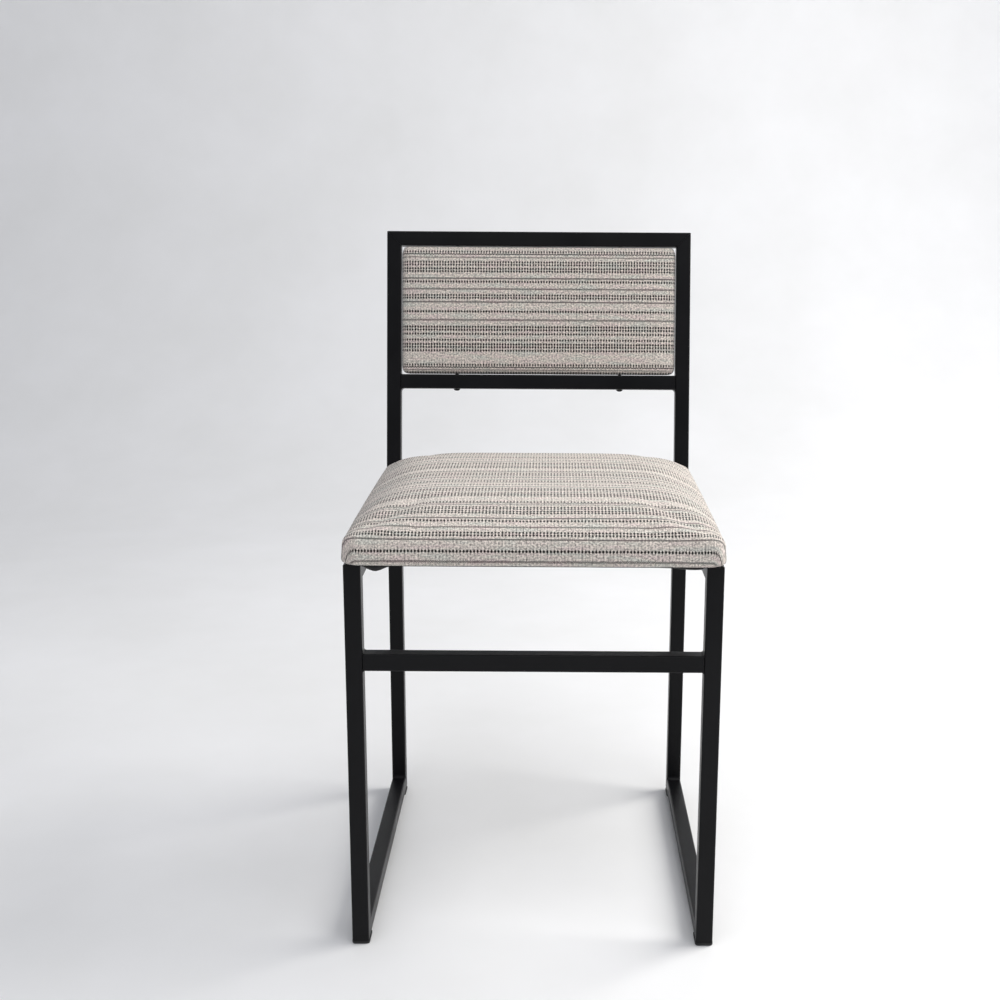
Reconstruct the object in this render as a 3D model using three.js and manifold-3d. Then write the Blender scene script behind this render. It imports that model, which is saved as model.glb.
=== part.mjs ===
// Dining chair: a welded sled frame of square steel tube, an upholstered seat pad
// screwed down on two cross bars, and an upholstered panel held between the back rails.
//
// Millimetres. +Z is up, the sitter faces -Y, and +X is to the right seen from the front.
// The origin is on the floor, under the centre of the whole chair.

import * as THREE from 'three';
import { ConvexGeometry } from 'three/addons/geometries/ConvexGeometry.js';
import { mergeVertices } from 'three/addons/utils/BufferGeometryUtils.js';
import Module from 'manifold-3d';

const wasm = await Module();
wasm.setup();

// ---------------------------------------------------------------- driving dimensions

// Frame
const FRAME_WIDTH = 430; // over the outer faces of the two side frames
const FRAME_DEPTH = 454; // at the floor, front of the legs to back of the rear posts
const OVERALL_HEIGHT = 825; // floor to the top edge of the back
const TUBE = 20; // square tube, across the flats
const TUBE_WALL = 1.5;
const TUBE_EDGE_RADIUS = 2; // rounded long edges of the tube
const JOINT_GAP = 0.3; // between two tubes that meet at a weld
const SEAT_RAIL_TOP = 469; // top face of the legs and the seat rails
const STRETCHER_UNDERSIDE = 343;
const LOWER_RAIL_UNDERSIDE = 606.5; // front lower edge of the rail under the back panel
const BEND_HEIGHT = 468; // where each rear post starts to lean back
const BEND_RADIUS = 50; // of the post's centre line
const RECLINE = THREE.MathUtils.degToRad(10);

// Seat cross bars, welded between the seat rails
const BAR_WIDTH = 30;
const BAR_THICKNESS = 5;
const FRONT_BAR_SETBACK = 110; // front of the legs to the middle of the front bar
const REAR_BAR_SETBACK = 80; // front of the rear posts to the middle of the rear bar

// Glides under the runners
const GLIDE_THICKNESS = 4;
const GLIDE_LENGTH = 28;
const GLIDE_LIP = 0.7; // how far a glide stands out past each side of the tube
const GLIDE_CORNER = 4;
const GLIDE_EDGE_ROUND = 1.5;
const GLIDE_END_SETBACK = 1; // end of the runner to the end of the glide
const GLIDE_STEM_DIAMETER = 8;
const GLIDE_STEM_LENGTH = 9;

// Seat pad
const SEAT_SIDE_OVERHANG = 1.75; // past each side frame
const SEAT_FRONT_OVERHANG = 17; // past the front of the legs
const SEAT_REAR_CLEARANCE = 0.6; // pad to rear posts
const SEAT_CORNER = 20;
const SEAT_CROWN = 35; // rise of the domed top above the upright border
const SEAT_CROWN_POWER = 3.8; // higher is steeper at the border and flatter in the middle
const SEAT_CROWN_FROM_SIDE = 120; // in from a side edge to where the dome is level
const SEAT_CROWN_FROM_END = 170; // in from the front or rear edge, likewise
const SEAT_EDGE_ROUND = 4; // height of the border that is rounded off under the dome
const SEAT_FOAM = 48; // at the middle
const SEAT_FOAM_LAP = 5; // foam turned down round the edge of the board
const SEAT_HEM = 25; // cover turned in under the board
const BOARD = 12; // plywood of the seat and of the back
const COVER = 1.5; // upholstery cloth
const DUST_COVER = 0.8;
const DUST_COVER_INSET = 8; // from the outer edge of the pad

// Back panel
const PANEL_CLEARANCE = 1; // cloth to tube, all round
const PANEL_CORNER = 7; // a little more than the edge rounding
const PANEL_EDGE_ROUND = 5;
const PANEL_BOARD_SHIFT = 1; // board behind the middle of the tubes
const PANEL_FRONT_FOAM = 6;
const PANEL_REAR_FOAM = 3;

// Fasteners
const FIT = 0.3; // clearance round a pin or screw, and between stacked pieces
const SEAT_SCREW_SPREAD = 260; // between the two screws in one bar
const SEAT_SCREW_DIAMETER = 6;
const SEAT_SCREW_LENGTH = 16;
const SEAT_SCREW_HEAD = 12;
const SEAT_SCREW_HEAD_HEIGHT = 3.3;
const SEAT_SCREW_SOCKET = 4; // hexagon key, across the flats
const TEE_NUT_FLANGE = 19;
const TEE_NUT_FLANGE_THICKNESS = 1.5;
const TEE_NUT_BARREL = 8;
const TEE_NUT_LENGTH = 9;
const BACK_FIXING_SPREAD = 232; // between the two screws, and between the two pins
const BACK_SCREW_DIAMETER = 5;
const BACK_SCREW_LENGTH = 33;
const BACK_SCREW_HEAD = 9.5;
const BACK_SCREW_HEAD_HEIGHT = 2.7;
const BACK_SCREW_SOCKET = 3;
const INSERT_DIAMETER = 7.2;
const INSERT_LENGTH = 12;
const PIN_DIAMETER = 5;
const PIN_IN_BOARD = 12;
const PIN_IN_RAIL = 6; // how far a pin stands into the top rail
const SOCKET_DEPTH = 1.6; // of the hexagon recess in a screw head

// Facets
const ROUND_SIDES = 14;

// ---------------------------------------------------------------- worked-out places
// Y is counted from the front of the legs until the whole chair is centred at the end.

const railX = (FRAME_WIDTH - TUBE) / 2; // centre line of each side frame
const innerWidth = FRAME_WIDTH - 2 * TUBE;
const runnerBottom = GLIDE_THICKNESS;
const postFront = FRAME_DEPTH - TUBE;
const frontBarY = FRONT_BAR_SETBACK;
const rearBarY = postFront - REAR_BAR_SETBACK;

// The reclined back is laid out in its own frame. Its origin is the centre of the bend,
// z runs up along the posts, and the posts' front faces lie at y = backFrontFace.
const bendCentreY = postFront + TUBE / 2 + BEND_RADIUS;
const backMiddle = -BEND_RADIUS;
const backFrontFace = backMiddle - TUBE / 2;
const upTheBack = (height) =>
  (height - BEND_HEIGHT + backFrontFace * Math.sin(RECLINE)) / Math.cos(RECLINE);
const backTop = upTheBack(OVERALL_HEIGHT);
const lowerRailBottom = upTheBack(LOWER_RAIL_UNDERSIDE);
const panelBottom = lowerRailBottom + TUBE + PANEL_CLEARANCE;
const panelTop = backTop - TUBE - PANEL_CLEARANCE;

const backReach =
  bendCentreY + (backFrontFace + TUBE) * Math.cos(RECLINE) + backTop * Math.sin(RECLINE);
const centreShift = (SEAT_FRONT_OVERHANG - backReach) / 2;

// ---------------------------------------------------------------- finishes

const finish = (color, roughness, metalness) => () =>
  new THREE.MeshStandardMaterial({ color, roughness, metalness });
const blackSteel = finish(0x1c1c1e, 0.5, 0.1);
const blackPlastic = finish(0x141415, 0.45, 0);
const zincSteel = finish(0xb4b5b2, 0.35, 1);
const plywood = finish(0xc9a877, 0.7, 0);
const foam = finish(0xe9e2cc, 0.95, 0);
const cloth = finish(0xb8aea5, 0.95, 0);
const blackCloth = finish(0x18181a, 0.95, 0);

// ---------------------------------------------------------------- solids

const chair = new THREE.Group();
chair.position.y = centreShift;

const back = new THREE.Group();
back.position.set(0, bendCentreY, BEND_HEIGHT);
back.rotation.x = -RECLINE;
chair.add(back);

function place(name, geometry, material, x, y, z, parent = chair) {
  const mesh = new THREE.Mesh(geometry, material());
  mesh.name = name;
  mesh.position.set(x, y, z);
  parent.add(mesh);
}

function solidOf(geometry) {
  const bare = geometry.clone();
  bare.deleteAttribute('normal');
  bare.deleteAttribute('uv');
  const merged = mergeVertices(bare);
  const vertProperties = merged.attributes.position.array;
  const triVerts = new Uint32Array(merged.index.array);
  return new wasm.Manifold(new wasm.Mesh({ numProp: 3, vertProperties, triVerts }));
}

function geometryOf(solid) {
  const { vertProperties, triVerts } = solid.getMesh();
  const geometry = new THREE.BufferGeometry();
  geometry.setAttribute('position', new THREE.BufferAttribute(vertProperties, 3));
  geometry.setIndex(new THREE.BufferAttribute(triVerts, 1));
  geometry.computeVertexNormals();
  return geometry;
}

const cut = (geometry, ...tools) =>
  geometryOf(tools.reduce((solid, tool) => solid.subtract(solidOf(tool)), solidOf(geometry)));

const join = (geometry, added) => geometryOf(solidOf(geometry).add(solidOf(added)));

function block(width, depth, height) {
  return new THREE.BoxGeometry(width, depth, height);
}

function roundRod(diameter, length) {
  const rod = new THREE.CylinderGeometry(diameter / 2, diameter / 2, length, ROUND_SIDES);
  return rod.rotateX(Math.PI / 2);
}

function roundedRectangle(width, height, radius, Kind = THREE.Shape) {
  const x = width / 2 - radius;
  const y = height / 2 - radius;
  const outline = new Kind();
  outline.absarc(x, y, radius, 0, Math.PI / 2);
  outline.absarc(-x, y, radius, Math.PI / 2, Math.PI);
  outline.absarc(-x, -y, radius, Math.PI, 1.5 * Math.PI);
  outline.absarc(x, -y, radius, 1.5 * Math.PI, 2 * Math.PI);
  outline.closePath();
  return outline;
}

function tubeSection() {
  const bore = TUBE - 2 * TUBE_WALL;
  const section = roundedRectangle(TUBE, TUBE, TUBE_EDGE_RADIUS);
  section.holes.push(roundedRectangle(bore, bore, TUBE_EDGE_RADIUS - TUBE_WALL, THREE.Path));
  return section;
}

// Square tube with open ends, centred on the origin and running along Z.
function squareTube(length) {
  const tube = new THREE.ExtrudeGeometry(tubeSection(), {
    depth: length,
    bevelEnabled: false,
    curveSegments: 2,
  });
  return tube.translate(0, 0, -length / 2);
}

// A block that takes away everything on the side of a plane that the direction points to,
// less half of the joint gap. The plane passes through (x, y, z) and the direction is a unit
// vector.
function beyond(x, y, z, direction) {
  const size = 4 * TUBE;
  const tool = block(size, size, size).translate(0, 0, size / 2 - JOINT_GAP / 2);
  const turn = new THREE.Quaternion().setFromUnitVectors(new THREE.Vector3(0, 0, 1), direction);
  return tool.applyQuaternion(turn).translate(x, y, z);
}

const diagonal = (x, y, z) => new THREE.Vector3(x, y, z).normalize();

// ---------------------------------------------------------------- welded side frames

// The centre line of a rear post: up, round the bend, and on up the reclined back. Its
// points are set at the two ends and along the bend, so the straight stretches stay plain.
class PostLine extends THREE.Curve {
  constructor(bendSteps) {
    super();
    this.bendSteps = bendSteps;
  }

  leanAt(t) {
    const step = Math.round(t * (this.bendSteps + 2)) - 1;
    return (RECLINE * Math.min(Math.max(step, 0), this.bendSteps)) / this.bendSteps;
  }

  getPoint(t) {
    const lean = this.leanAt(t);
    const onBend = new THREE.Vector3(
      0,
      bendCentreY - BEND_RADIUS * Math.cos(lean),
      BEND_HEIGHT + BEND_RADIUS * Math.sin(lean),
    );
    if (t === 0) onBend.z = runnerBottom;
    if (t === 1) onBend.addScaledVector(this.getTangent(1), backTop);
    return onBend;
  }

  getTangent(t) {
    const lean = this.leanAt(t);
    return new THREE.Vector3(0, Math.sin(lean), Math.cos(lean));
  }

  getPointAt(t) {
    return this.getPoint(t);
  }

  getTangentAt(t) {
    return this.getTangent(t);
  }
}

function frontLeg() {
  const height = SEAT_RAIL_TOP - runnerBottom;
  const middle = (SEAT_RAIL_TOP + runnerBottom) / 2;
  return cut(
    squareTube(height).translate(0, TUBE / 2, middle),
    beyond(0, 0, runnerBottom, diagonal(0, 1, -1)),
    beyond(0, 0, SEAT_RAIL_TOP, diagonal(0, 1, 1)),
  );
}

function runner() {
  const middle = runnerBottom + TUBE / 2;
  const tools = [
    beyond(0, 0, runnerBottom, diagonal(0, -1, 1)),
    beyond(0, FRAME_DEPTH, runnerBottom, diagonal(0, 1, 1)),
  ];
  for (const y of glidePlaces) {
    const hole = roundRod(GLIDE_STEM_DIAMETER + 2 * FIT, 2 * TUBE_EDGE_RADIUS + TUBE_WALL);
    tools.push(hole.translate(0, y, runnerBottom));
  }
  return cut(
    squareTube(FRAME_DEPTH).rotateX(-Math.PI / 2).translate(0, FRAME_DEPTH / 2, middle),
    ...tools,
  );
}

function seatRail() {
  const end = postFront - JOINT_GAP;
  return cut(
    squareTube(end).rotateX(-Math.PI / 2).translate(0, end / 2, SEAT_RAIL_TOP - TUBE / 2),
    beyond(0, 0, SEAT_RAIL_TOP, diagonal(0, -1, -1)),
  );
}

function rearPost(side) {
  const bendSteps = 4;
  const tube = new THREE.ExtrudeGeometry(tubeSection(), {
    steps: bendSteps + 2,
    curveSegments: 2,
    extrudePath: new PostLine(bendSteps),
  });
  const topCorner = new THREE.Vector3((side * TUBE) / 2, backMiddle, backTop);
  topCorner.applyEuler(back.rotation).add(back.position);
  const topCut = diagonal(-side, 0, 1).applyEuler(back.rotation);
  return cut(
    tube,
    beyond(0, FRAME_DEPTH, runnerBottom, diagonal(0, -1, -1)),
    beyond(topCorner.x, topCorner.y, topCorner.z, topCut),
  );
}

const glideInset = GLIDE_END_SETBACK + GLIDE_LENGTH / 2;
const glidePlaces = [glideInset, FRAME_DEPTH - glideInset];

for (const [side, hand] of [[-1, 'left'], [1, 'right']]) {
  place(`front_leg_${hand}`, frontLeg(), blackSteel, side * railX, 0, 0);
  place(`runner_${hand}`, runner(), blackSteel, side * railX, 0, 0);
  place(`seat_rail_${hand}`, seatRail(), blackSteel, side * railX, 0, 0);
  place(`rear_post_${hand}`, rearPost(side), blackSteel, side * railX, 0, 0);
}

// ---------------------------------------------------------------- tubes across the frame

function acrossTube(length) {
  return squareTube(length).rotateY(Math.PI / 2);
}

const betweenFrames = innerWidth - 2 * JOINT_GAP;
place(
  'front_stretcher',
  acrossTube(betweenFrames),
  blackSteel,
  0,
  TUBE / 2,
  STRETCHER_UNDERSIDE + TUBE / 2,
);

// Two plain holes through a tube or a board that lies along X, drilled along Z.
const pairOfHoles = (diameter, spread, y, z, depth) =>
  [-1, 1].map((side) => roundRod(diameter, depth).translate((side * spread) / 2, y, z));

const fixingY = backMiddle + PANEL_BOARD_SHIFT;

function backTopRail() {
  const middle = backTop - TUBE / 2;
  return cut(
    acrossTube(FRAME_WIDTH).translate(0, backMiddle, middle),
    beyond(-FRAME_WIDTH / 2, backMiddle, backTop, diagonal(-1, 0, -1)),
    beyond(FRAME_WIDTH / 2, backMiddle, backTop, diagonal(1, 0, -1)),
    ...pairOfHoles(PIN_DIAMETER + 2 * FIT, BACK_FIXING_SPREAD, fixingY, middle - TUBE / 2, TUBE / 2),
  );
}
place('back_top_rail', backTopRail(), blackSteel, 0, 0, 0, back);

function backLowerRail() {
  const middle = lowerRailBottom + TUBE / 2;
  const hole = BACK_SCREW_DIAMETER + 2 * FIT;
  return cut(
    acrossTube(betweenFrames).translate(0, backMiddle, middle),
    ...pairOfHoles(hole, BACK_FIXING_SPREAD, fixingY, middle, 2 * TUBE),
  );
}
place('back_lower_rail', backLowerRail(), blackSteel, 0, 0, 0, back);

// Flat bars that carry the seat board, flush with the tops of the seat rails.
function seatBar() {
  const hole = SEAT_SCREW_DIAMETER + 2 * FIT;
  return cut(
    block(betweenFrames, BAR_WIDTH, BAR_THICKNESS),
    ...pairOfHoles(hole, SEAT_SCREW_SPREAD, 0, 0, 2 * BAR_THICKNESS),
  );
}
const barMiddle = SEAT_RAIL_TOP - BAR_THICKNESS / 2;
place('seat_bar_front', seatBar(), blackSteel, 0, frontBarY, barMiddle);
place('seat_bar_rear', seatBar(), blackSteel, 0, rearBarY, barMiddle);

// ---------------------------------------------------------------- glides

// A moulded pad with rounded edges under the tube and a stem that snaps into the runner.
function glide() {
  const outline = roundedRectangle(TUBE + 2 * GLIDE_LIP, GLIDE_LENGTH, GLIDE_CORNER);
  const height = GLIDE_THICKNESS - FIT;
  const pad = new THREE.ExtrudeGeometry(outline, {
    depth: height,
    bevelThickness: GLIDE_EDGE_ROUND,
    bevelSize: GLIDE_EDGE_ROUND,
    bevelOffset: -GLIDE_EDGE_ROUND,
    bevelSegments: 2,
    curveSegments: 3,
  }).translate(0, 0, GLIDE_EDGE_ROUND);
  const trimmed = cut(pad, block(2 * TUBE, 2 * GLIDE_LENGTH, TUBE).translate(0, 0, height + TUBE / 2));
  const stemTop = height + GLIDE_STEM_LENGTH;
  return join(trimmed, roundRod(GLIDE_STEM_DIAMETER, stemTop - 1).translate(0, 0, (stemTop + 1) / 2));
}

for (const [side, hand] of [[-1, 'left'], [1, 'right']]) {
  place(`glide_front_${hand}`, glide(), blackPlastic, side * railX, glidePlaces[0], 0);
  place(`glide_rear_${hand}`, glide(), blackPlastic, side * railX, glidePlaces[1], 0);
}

// ---------------------------------------------------------------- seat pad

const dustBottom = SEAT_RAIL_TOP + FIT;
const hemBottom = dustBottom + DUST_COVER + FIT;
const boardBottom = hemBottom + COVER + FIT;
const boardTop = boardBottom + BOARD;
const foamBottom = boardTop + FIT;
const foamTop = foamBottom + SEAT_FOAM;
const seatTop = foamTop + FIT + COVER;

const seatWidth = FRAME_WIDTH + 2 * SEAT_SIDE_OVERHANG;
const seatDepth = SEAT_FRONT_OVERHANG + postFront - SEAT_REAR_CLEARANCE;
const seatMiddle = seatDepth / 2 - SEAT_FRONT_OVERHANG;
const insideCover = COVER + FIT;

// A slab with rounded upright corners, standing on z = 0, its upper edge rounded over by
// the crown. The inset shrinks it evenly all round.
function slab(width, depth, height, corner, crown, inset) {
  const outline = roundedRectangle(width - 2 * inset, depth - 2 * inset, corner - inset);
  if (crown === 0) {
    return new THREE.ExtrudeGeometry(outline, {
      depth: height,
      bevelEnabled: false,
      curveSegments: 3,
    });
  }
  const round = crown - inset;
  const body = new THREE.ExtrudeGeometry(outline, {
    depth: height - round,
    bevelThickness: round,
    bevelSize: round,
    bevelOffset: -round,
    bevelSegments: 4,
    curveSegments: 3,
  });
  return cut(body, block(2 * width, 2 * depth, 2 * round).translate(0, 0, -round));
}

// A flat layer of the seat pad.
const seatLayer = (from, to, inset) =>
  slab(seatWidth, seatDepth, to - from, SEAT_CORNER, 0, inset).translate(0, seatMiddle, from);

// The pad from one height up to the top of its dome. The outline gets smaller, and its
// corners rounder, on the way up the dome.
function domedPad(from, to, inset) {
  const points = [];
  function ring(height, inwards) {
    const outline = roundedRectangle(
      seatWidth - 2 * (inset + inwards * SEAT_CROWN_FROM_SIDE),
      seatDepth - 2 * (inset + inwards * SEAT_CROWN_FROM_END),
      SEAT_CORNER - inset + inwards * SEAT_CORNER,
    );
    for (const { x, y } of outline.getPoints(3)) {
      points.push(new THREE.Vector3(x, y + seatMiddle, height));
    }
  }
  const border = to - SEAT_CROWN;
  ring(from, 0);
  ring(border - SEAT_EDGE_ROUND, 0);
  for (const inwards of [0.03, 0.08, 0.16, 0.28, 0.44, 0.64, 1]) {
    ring(border + SEAT_CROWN * (1 - (1 - inwards) ** SEAT_CROWN_POWER), inwards);
  }
  return new ConvexGeometry(points);
}

const seatScrewPlaces = [];
for (const [row, y] of [['front', frontBarY], ['rear', rearBarY]]) {
  for (const [side, hand] of [[-1, 'left'], [1, 'right']]) {
    seatScrewPlaces.push({ name: `${row}_${hand}`, x: (side * SEAT_SCREW_SPREAD) / 2, y });
  }
}

const seatHoles = (diameter, from, to) =>
  seatScrewPlaces.map(({ x, y }) => roundRod(diameter, to - from).translate(x, y, (from + to) / 2));

const seatBoard = cut(
  seatLayer(boardBottom, boardTop, insideCover + SEAT_FOAM_LAP),
  ...seatHoles(TEE_NUT_BARREL + 2 * FIT, boardBottom - 1, boardTop + 1),
  ...seatHoles(TEE_NUT_FLANGE + 2 * FIT, boardTop - TEE_NUT_FLANGE_THICKNESS - FIT, boardTop + 1),
);
place('seat_board', seatBoard, plywood, 0, 0, 0);

const seatFoam = cut(
  domedPad(boardBottom, foamTop, insideCover),
  seatLayer(boardBottom - 1, foamBottom, insideCover + SEAT_FOAM_LAP - FIT),
);
place('seat_foam', seatFoam, foam, 0, 0, 0);

const seatCover = cut(
  domedPad(hemBottom, seatTop, 0),
  domedPad(hemBottom + COVER, seatTop - COVER, COVER),
  slab(seatWidth, seatDepth, 2 * COVER, SEAT_HEM + 2, 0, SEAT_HEM).translate(
    0,
    seatMiddle,
    hemBottom - COVER / 2,
  ),
);
place('seat_cover', seatCover, cloth, 0, 0, 0);

const dustCover = cut(
  seatLayer(dustBottom, dustBottom + DUST_COVER, DUST_COVER_INSET),
  ...seatHoles(SEAT_SCREW_DIAMETER + 4 * FIT, dustBottom - 1, hemBottom + 1),
);
place('seat_dust_cover', dustCover, blackCloth, 0, 0, 0);

// ---------------------------------------------------------------- seat fasteners

// Button-head screw with a hexagon socket. The head's seat is at z = 0, the thread points up.
function buttonScrew(head, headHeight, diameter, length, socket) {
  const dome = [];
  const domeSteps = 4;
  for (let i = 0; i <= domeSteps; i += 1) {
    const angle = (Math.PI / 2) * (i / domeSteps);
    dome.push(new THREE.Vector2((head / 2) * Math.sin(angle), -headHeight * Math.cos(angle)));
  }
  dome[0].x = 0;
  const chamfer = diameter / 8;
  const profile = [
    ...dome,
    new THREE.Vector2(diameter / 2, 0),
    new THREE.Vector2(diameter / 2, length - chamfer),
    new THREE.Vector2(diameter / 2 - chamfer, length),
    new THREE.Vector2(0, length),
  ];
  const body = new THREE.LatheGeometry(profile, ROUND_SIDES).rotateX(Math.PI / 2);
  const acrossCorners = socket / Math.cos(Math.PI / 6);
  const key = new THREE.CylinderGeometry(acrossCorners / 2, acrossCorners / 2, 2 * SOCKET_DEPTH, 6);
  return cut(body, key.rotateX(Math.PI / 2).translate(0, 0, -headHeight));
}

// Tee nut: a flange on top of the board and a threaded barrel down into it.
function teeNut() {
  const bore = SEAT_SCREW_DIAMETER / 2 + FIT;
  const profile = [
    new THREE.Vector2(bore, -TEE_NUT_LENGTH),
    new THREE.Vector2(TEE_NUT_BARREL / 2, -TEE_NUT_LENGTH),
    new THREE.Vector2(TEE_NUT_BARREL / 2, -TEE_NUT_FLANGE_THICKNESS),
    new THREE.Vector2(TEE_NUT_FLANGE / 2, -TEE_NUT_FLANGE_THICKNESS),
    new THREE.Vector2(TEE_NUT_FLANGE / 2, 0),
    new THREE.Vector2(bore, 0),
    new THREE.Vector2(bore, -TEE_NUT_LENGTH),
  ];
  return new THREE.LatheGeometry(profile, ROUND_SIDES).rotateX(Math.PI / 2);
}

for (const { name, x, y } of seatScrewPlaces) {
  const screw = buttonScrew(
    SEAT_SCREW_HEAD,
    SEAT_SCREW_HEAD_HEIGHT,
    SEAT_SCREW_DIAMETER,
    SEAT_SCREW_LENGTH,
    SEAT_SCREW_SOCKET,
  );
  place(`seat_screw_${name}`, screw, zincSteel, x, y, SEAT_RAIL_TOP - BAR_THICKNESS - FIT);
  place(`tee_nut_${name}`, teeNut(), zincSteel, x, y, boardTop);
}

// ---------------------------------------------------------------- back panel

const panelWidth = innerWidth - 2 * PANEL_CLEARANCE;
const panelHeight = panelTop - panelBottom;
const panelMiddle = (panelTop + panelBottom) / 2;
const boardFront = fixingY - BOARD / 2;
const boardRear = fixingY + BOARD / 2;
const panelFront = boardFront - FIT - PANEL_FRONT_FOAM - insideCover;
const panelRear = boardRear + FIT + PANEL_REAR_FOAM + insideCover;

// A slab of the panel that reaches from one depth to another, its front edge rounded.
const panelSlab = (front, rear, inset, round) =>
  slab(panelWidth, panelHeight, rear - front, PANEL_CORNER, round, inset)
    .rotateX(Math.PI / 2)
    .translate(0, rear, panelMiddle);

const panelScrewHoles = (diameter, z, depth) =>
  pairOfHoles(diameter, BACK_FIXING_SPREAD, fixingY, z, depth);
const boardLower = panelBottom + insideCover;
const boardUpper = panelTop - insideCover;

const backBoard = cut(
  panelSlab(boardFront, boardRear, insideCover, 0),
  ...panelScrewHoles(INSERT_DIAMETER + 2 * FIT, boardLower, 2 * (INSERT_LENGTH + 2 * FIT)),
  ...panelScrewHoles(BACK_SCREW_DIAMETER + 2 * FIT, boardLower, 4 * INSERT_LENGTH),
  ...panelScrewHoles(PIN_DIAMETER + 2 * FIT, boardUpper, 2 * (PIN_IN_BOARD + FIT)),
);
place('back_board', backBoard, plywood, 0, 0, 0, back);

const foamFront = panelSlab(panelFront + insideCover, boardFront - FIT, insideCover, PANEL_EDGE_ROUND);
place('back_foam_front', foamFront, foam, 0, 0, 0, back);

const foamRear = panelSlab(boardRear + FIT, panelRear - insideCover, insideCover + 2, 0);
place('back_foam_rear', foamRear, foam, 0, 0, 0, back);

const backCover = cut(
  panelSlab(panelFront, panelRear, 0, PANEL_EDGE_ROUND),
  panelSlab(panelFront + COVER, panelRear - COVER, COVER, PANEL_EDGE_ROUND),
  ...panelScrewHoles(INSERT_DIAMETER, panelBottom, 4 * COVER),
  ...panelScrewHoles(INSERT_DIAMETER, panelTop, 4 * COVER),
);
place('back_cover', backCover, cloth, 0, 0, 0, back);

// ---------------------------------------------------------------- back fasteners

function insertNut() {
  const bore = BACK_SCREW_DIAMETER / 2 + FIT;
  const profile = [
    new THREE.Vector2(bore, 0),
    new THREE.Vector2(INSERT_DIAMETER / 2, 0),
    new THREE.Vector2(INSERT_DIAMETER / 2, INSERT_LENGTH),
    new THREE.Vector2(bore, INSERT_LENGTH),
    new THREE.Vector2(bore, 0),
  ];
  return new THREE.LatheGeometry(profile, ROUND_SIDES).rotateX(Math.PI / 2);
}

for (const [side, hand] of [[-1, 'left'], [1, 'right']]) {
  const x = (side * BACK_FIXING_SPREAD) / 2;
  const screw = buttonScrew(
    BACK_SCREW_HEAD,
    BACK_SCREW_HEAD_HEIGHT,
    BACK_SCREW_DIAMETER,
    BACK_SCREW_LENGTH,
    BACK_SCREW_SOCKET,
  );
  place(`back_screw_${hand}`, screw, blackSteel, x, fixingY, lowerRailBottom - FIT, back);
  place(`insert_nut_${hand}`, insertNut(), zincSteel, x, fixingY, boardLower + FIT, back);

  const pinBottom = boardUpper - PIN_IN_BOARD;
  const pinTop = backTop - TUBE + PIN_IN_RAIL;
  const pin = roundRod(PIN_DIAMETER, pinTop - pinBottom);
  place(`locating_pin_${hand}`, pin, zincSteel, x, fixingY, (pinTop + pinBottom) / 2, back);
}

export default chair;
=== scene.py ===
import math

import bmesh
import bpy
import numpy as np
from mathutils import Matrix, Vector, noise


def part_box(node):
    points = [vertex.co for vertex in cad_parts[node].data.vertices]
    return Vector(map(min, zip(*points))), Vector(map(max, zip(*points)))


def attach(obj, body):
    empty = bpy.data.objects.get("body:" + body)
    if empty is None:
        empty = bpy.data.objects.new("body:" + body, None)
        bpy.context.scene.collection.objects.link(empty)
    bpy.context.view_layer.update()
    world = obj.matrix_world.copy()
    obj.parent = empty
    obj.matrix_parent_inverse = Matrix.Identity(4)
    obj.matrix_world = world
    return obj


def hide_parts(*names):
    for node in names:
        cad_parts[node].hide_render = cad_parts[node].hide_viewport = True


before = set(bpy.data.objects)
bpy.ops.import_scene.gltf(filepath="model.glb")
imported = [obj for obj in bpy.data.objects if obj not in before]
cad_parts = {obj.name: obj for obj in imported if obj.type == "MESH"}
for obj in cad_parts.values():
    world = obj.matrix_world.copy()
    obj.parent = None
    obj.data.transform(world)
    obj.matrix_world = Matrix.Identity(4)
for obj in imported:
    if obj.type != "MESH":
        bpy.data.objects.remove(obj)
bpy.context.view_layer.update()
scene = bpy.context.scene

# ---------------------------------------------------------------- camera
# Standing in front of the chair at eye height of a seated person, looking
# slightly down. The lens is a short portrait one, shifted a little sideways.
CAMERA_SIDE = 0.0174
CAMERA_AWAY = 1.5236  # in front of the legs
CAMERA_HEIGHT = 0.877
CAMERA_DOWN = 0.2147  # radians below the horizon
CAMERA_ROLL = 0.0061
LENS = 50.5  # mm, on a sensor 36 mm wide
LENS_SHIFT = -0.0497

leg_low, leg_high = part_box("front_leg_left")
camera = bpy.data.objects.new("camera", bpy.data.cameras.new("camera"))
scene.collection.objects.link(camera)
camera.data.sensor_width = 36
camera.data.lens = LENS
camera.data.shift_x = LENS_SHIFT
camera.matrix_world = (
    Matrix.Translation((CAMERA_SIDE, leg_low.y - CAMERA_AWAY, CAMERA_HEIGHT))
    @ Matrix.Rotation(math.pi / 2 - CAMERA_DOWN, 4, "X")
    @ Matrix.Rotation(CAMERA_ROLL, 4, "Z")
)
scene.camera = camera
scene.view_settings.view_transform = "Standard"

# ---------------------------------------------------------------- studio
# A white painted sweep: the floor runs back and curves up into the wall.
# Matt emulsion, a little uneven in tone where it was rolled on.
SWEEP_WIDTH = 9.0
SWEEP_FRONT = -4.0
SWEEP_BACK = 3.2
SWEEP_BEND = 1.4
SWEEP_HEIGHT = 4.6


def linear(code):
    """A linear RGBA colour from an sRGB hex value such as 0x8A7F76."""
    parts = [(code >> shift & 255) / 255 for shift in (16, 8, 0)]
    return (*[c / 12.92 if c <= 0.04045 else ((c + 0.055) / 1.055) ** 2.4 for c in parts], 1)


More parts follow.
